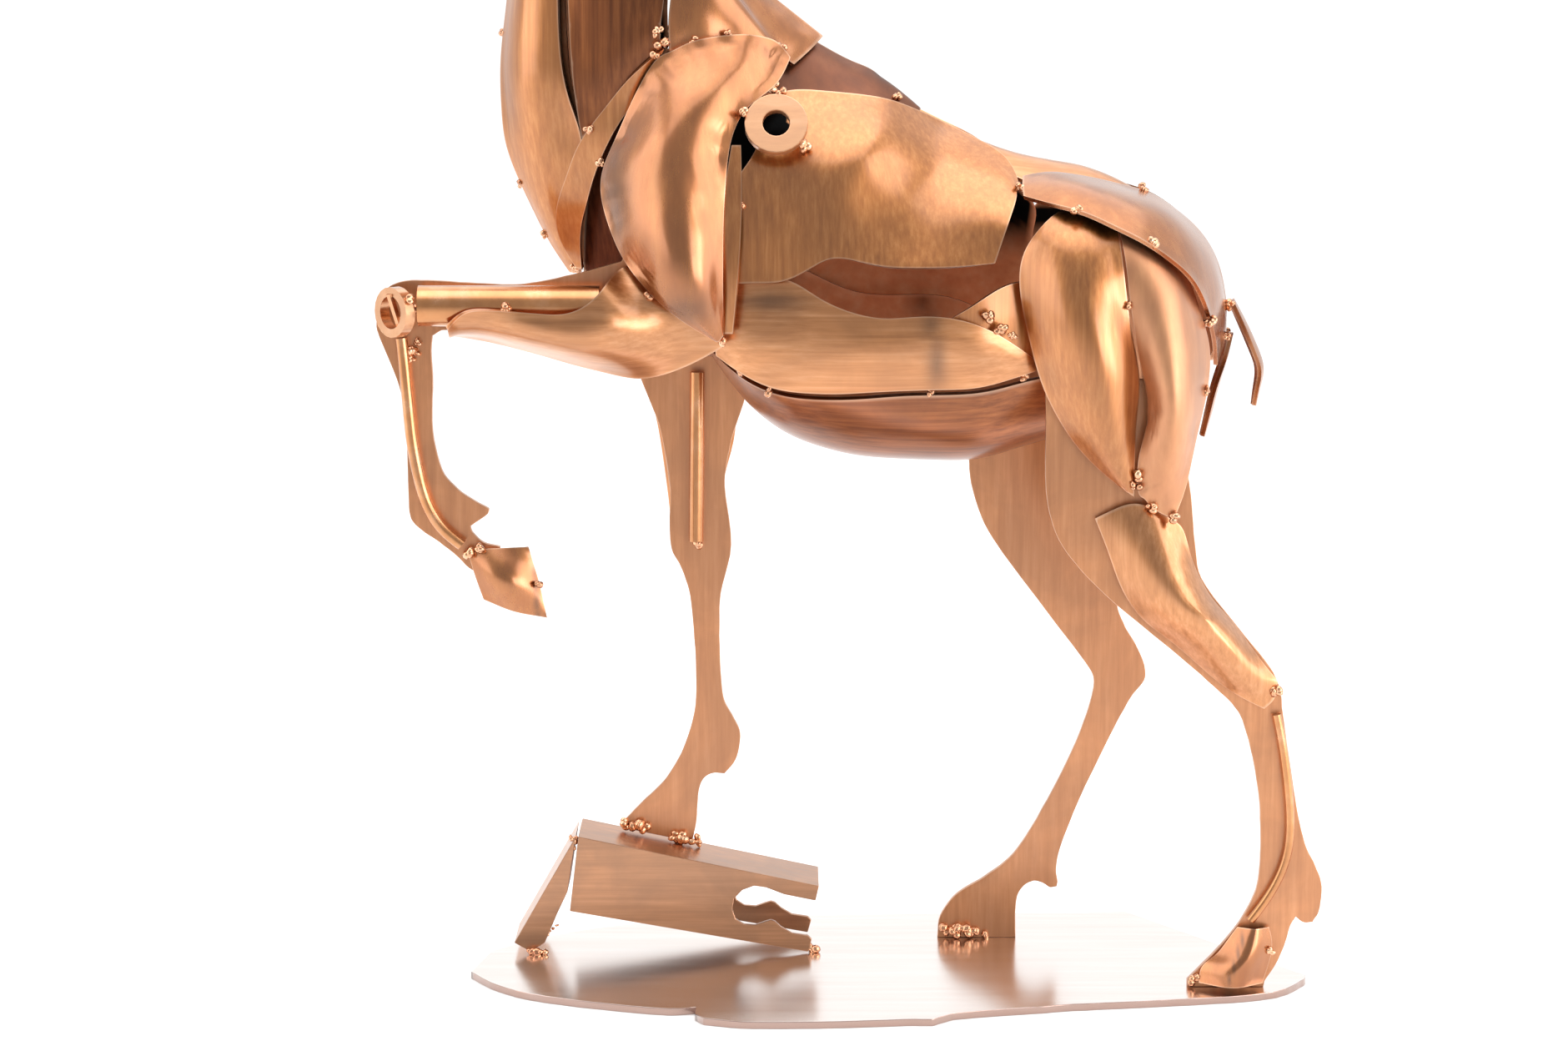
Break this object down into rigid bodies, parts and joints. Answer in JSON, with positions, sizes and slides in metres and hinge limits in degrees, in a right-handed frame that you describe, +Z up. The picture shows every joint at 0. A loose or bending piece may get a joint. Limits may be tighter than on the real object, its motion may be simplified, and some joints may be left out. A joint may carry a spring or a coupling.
{
  "type": "metal stag sculpture",
  "caption": "Standing stag figure built of cut, hammered and welded metal sheet, one foreleg raised, on a thin flat base plate.",
  "frame": {"origin": "middle of the overall box at the underside of the base plate", "axes": "+X from the muzzle towards the tail, +Z up, the stag's left side faces -Y"},
  "size_m": [0.2503, 0.1254, 0.4846],
  "materials": {
    "base_metal": "satin brushed, warm copper tone",
    "cut_plate": "flat cut plate with brown heat patina",
    "hammered_sheet": "brushed and hammered, dark in the recesses",
    "bright_bar": "polished bar and tube",
    "antler_bar": "brushed with brown patina"
  },
  "bodies": {
    "root": {"base_plate": "base_metal", "step_channel": "cut_plate", "step_prop": "cut_plate", "right_foreleg_plate": "cut_plate", "right_foreleg_tube": "bright_bar", "right_forearm_shell": "hammered_sheet", "left_foreleg_plate": "cut_plate", "left_forearm_tube": "bright_bar", "left_knee_ring": "bright_bar", "left_foreleg_rod": "bright_bar", "left_forearm_shell": "hammered_sheet", "left_forehoof": "cut_plate", "left_hind_plate": "cut_plate", "right_hind_plate": "cut_plate", "left_gaskin_shell": "hammered_sheet", "right_gaskin_shell": "hammered_sheet", "left_hind_rod": "bright_bar", "left_hind_hoof": "cut_plate", "left_thigh_front_shell": "hammered_sheet", "left_thigh_rear_shell": "hammered_sheet", "right_thigh_front_shell": "hammered_sheet", "right_thigh_rear_shell": "hammered_sheet", "left_rump_shell": "hammered_sheet", "right_rump_shell": "hammered_sheet", "tail_leaf_upper": "hammered_sheet", "tail_leaf_lower": "hammered_sheet", "left_rib_shell": "hammered_sheet", "right_rib_shell": "hammered_sheet", "left_belly_shell": "hammered_sheet", "right_belly_shell": "hammered_sheet", "belly_keel": "hammered_sheet", "left_flank_patch": "hammered_sheet", "back_saddle_sheet": "hammered_sheet", "spine_sheet": "hammered_sheet", "left_shoulder_shell": "hammered_sheet", "right_shoulder_shell": "hammered_sheet", "left_shoulder_strip": "hammered_sheet", "left_shoulder_washer": "bright_bar", "left_neck_band": "hammered_sheet", "right_neck_band": "hammered_sheet", "left_breast_shell": "hammered_sheet", "right_breast_shell": "hammered_sheet", "left_neck_side_shell": "hammered_sheet", "right_neck_side_shell": "hammered_sheet", "left_withers_shell": "hammered_sheet", "right_withers_shell": "hammered_sheet", "left_chest_panel": "hammered_sheet", "left_cheek_shell": "hammered_sheet", "right_cheek_shell": "hammered_sheet", "brow_and_nose_sheet": "hammered_sheet", "jaw_sheet": "hammered_sheet", "nose_cap": "hammered_sheet", "left_ear": "hammered_sheet", "right_ear": "hammered_sheet", "left_eye": "bright_bar", "right_eye": "bright_bar", "left_antler": "antler_bar", "right_antler": "antler_bar"}
  },
  "joints": []
}
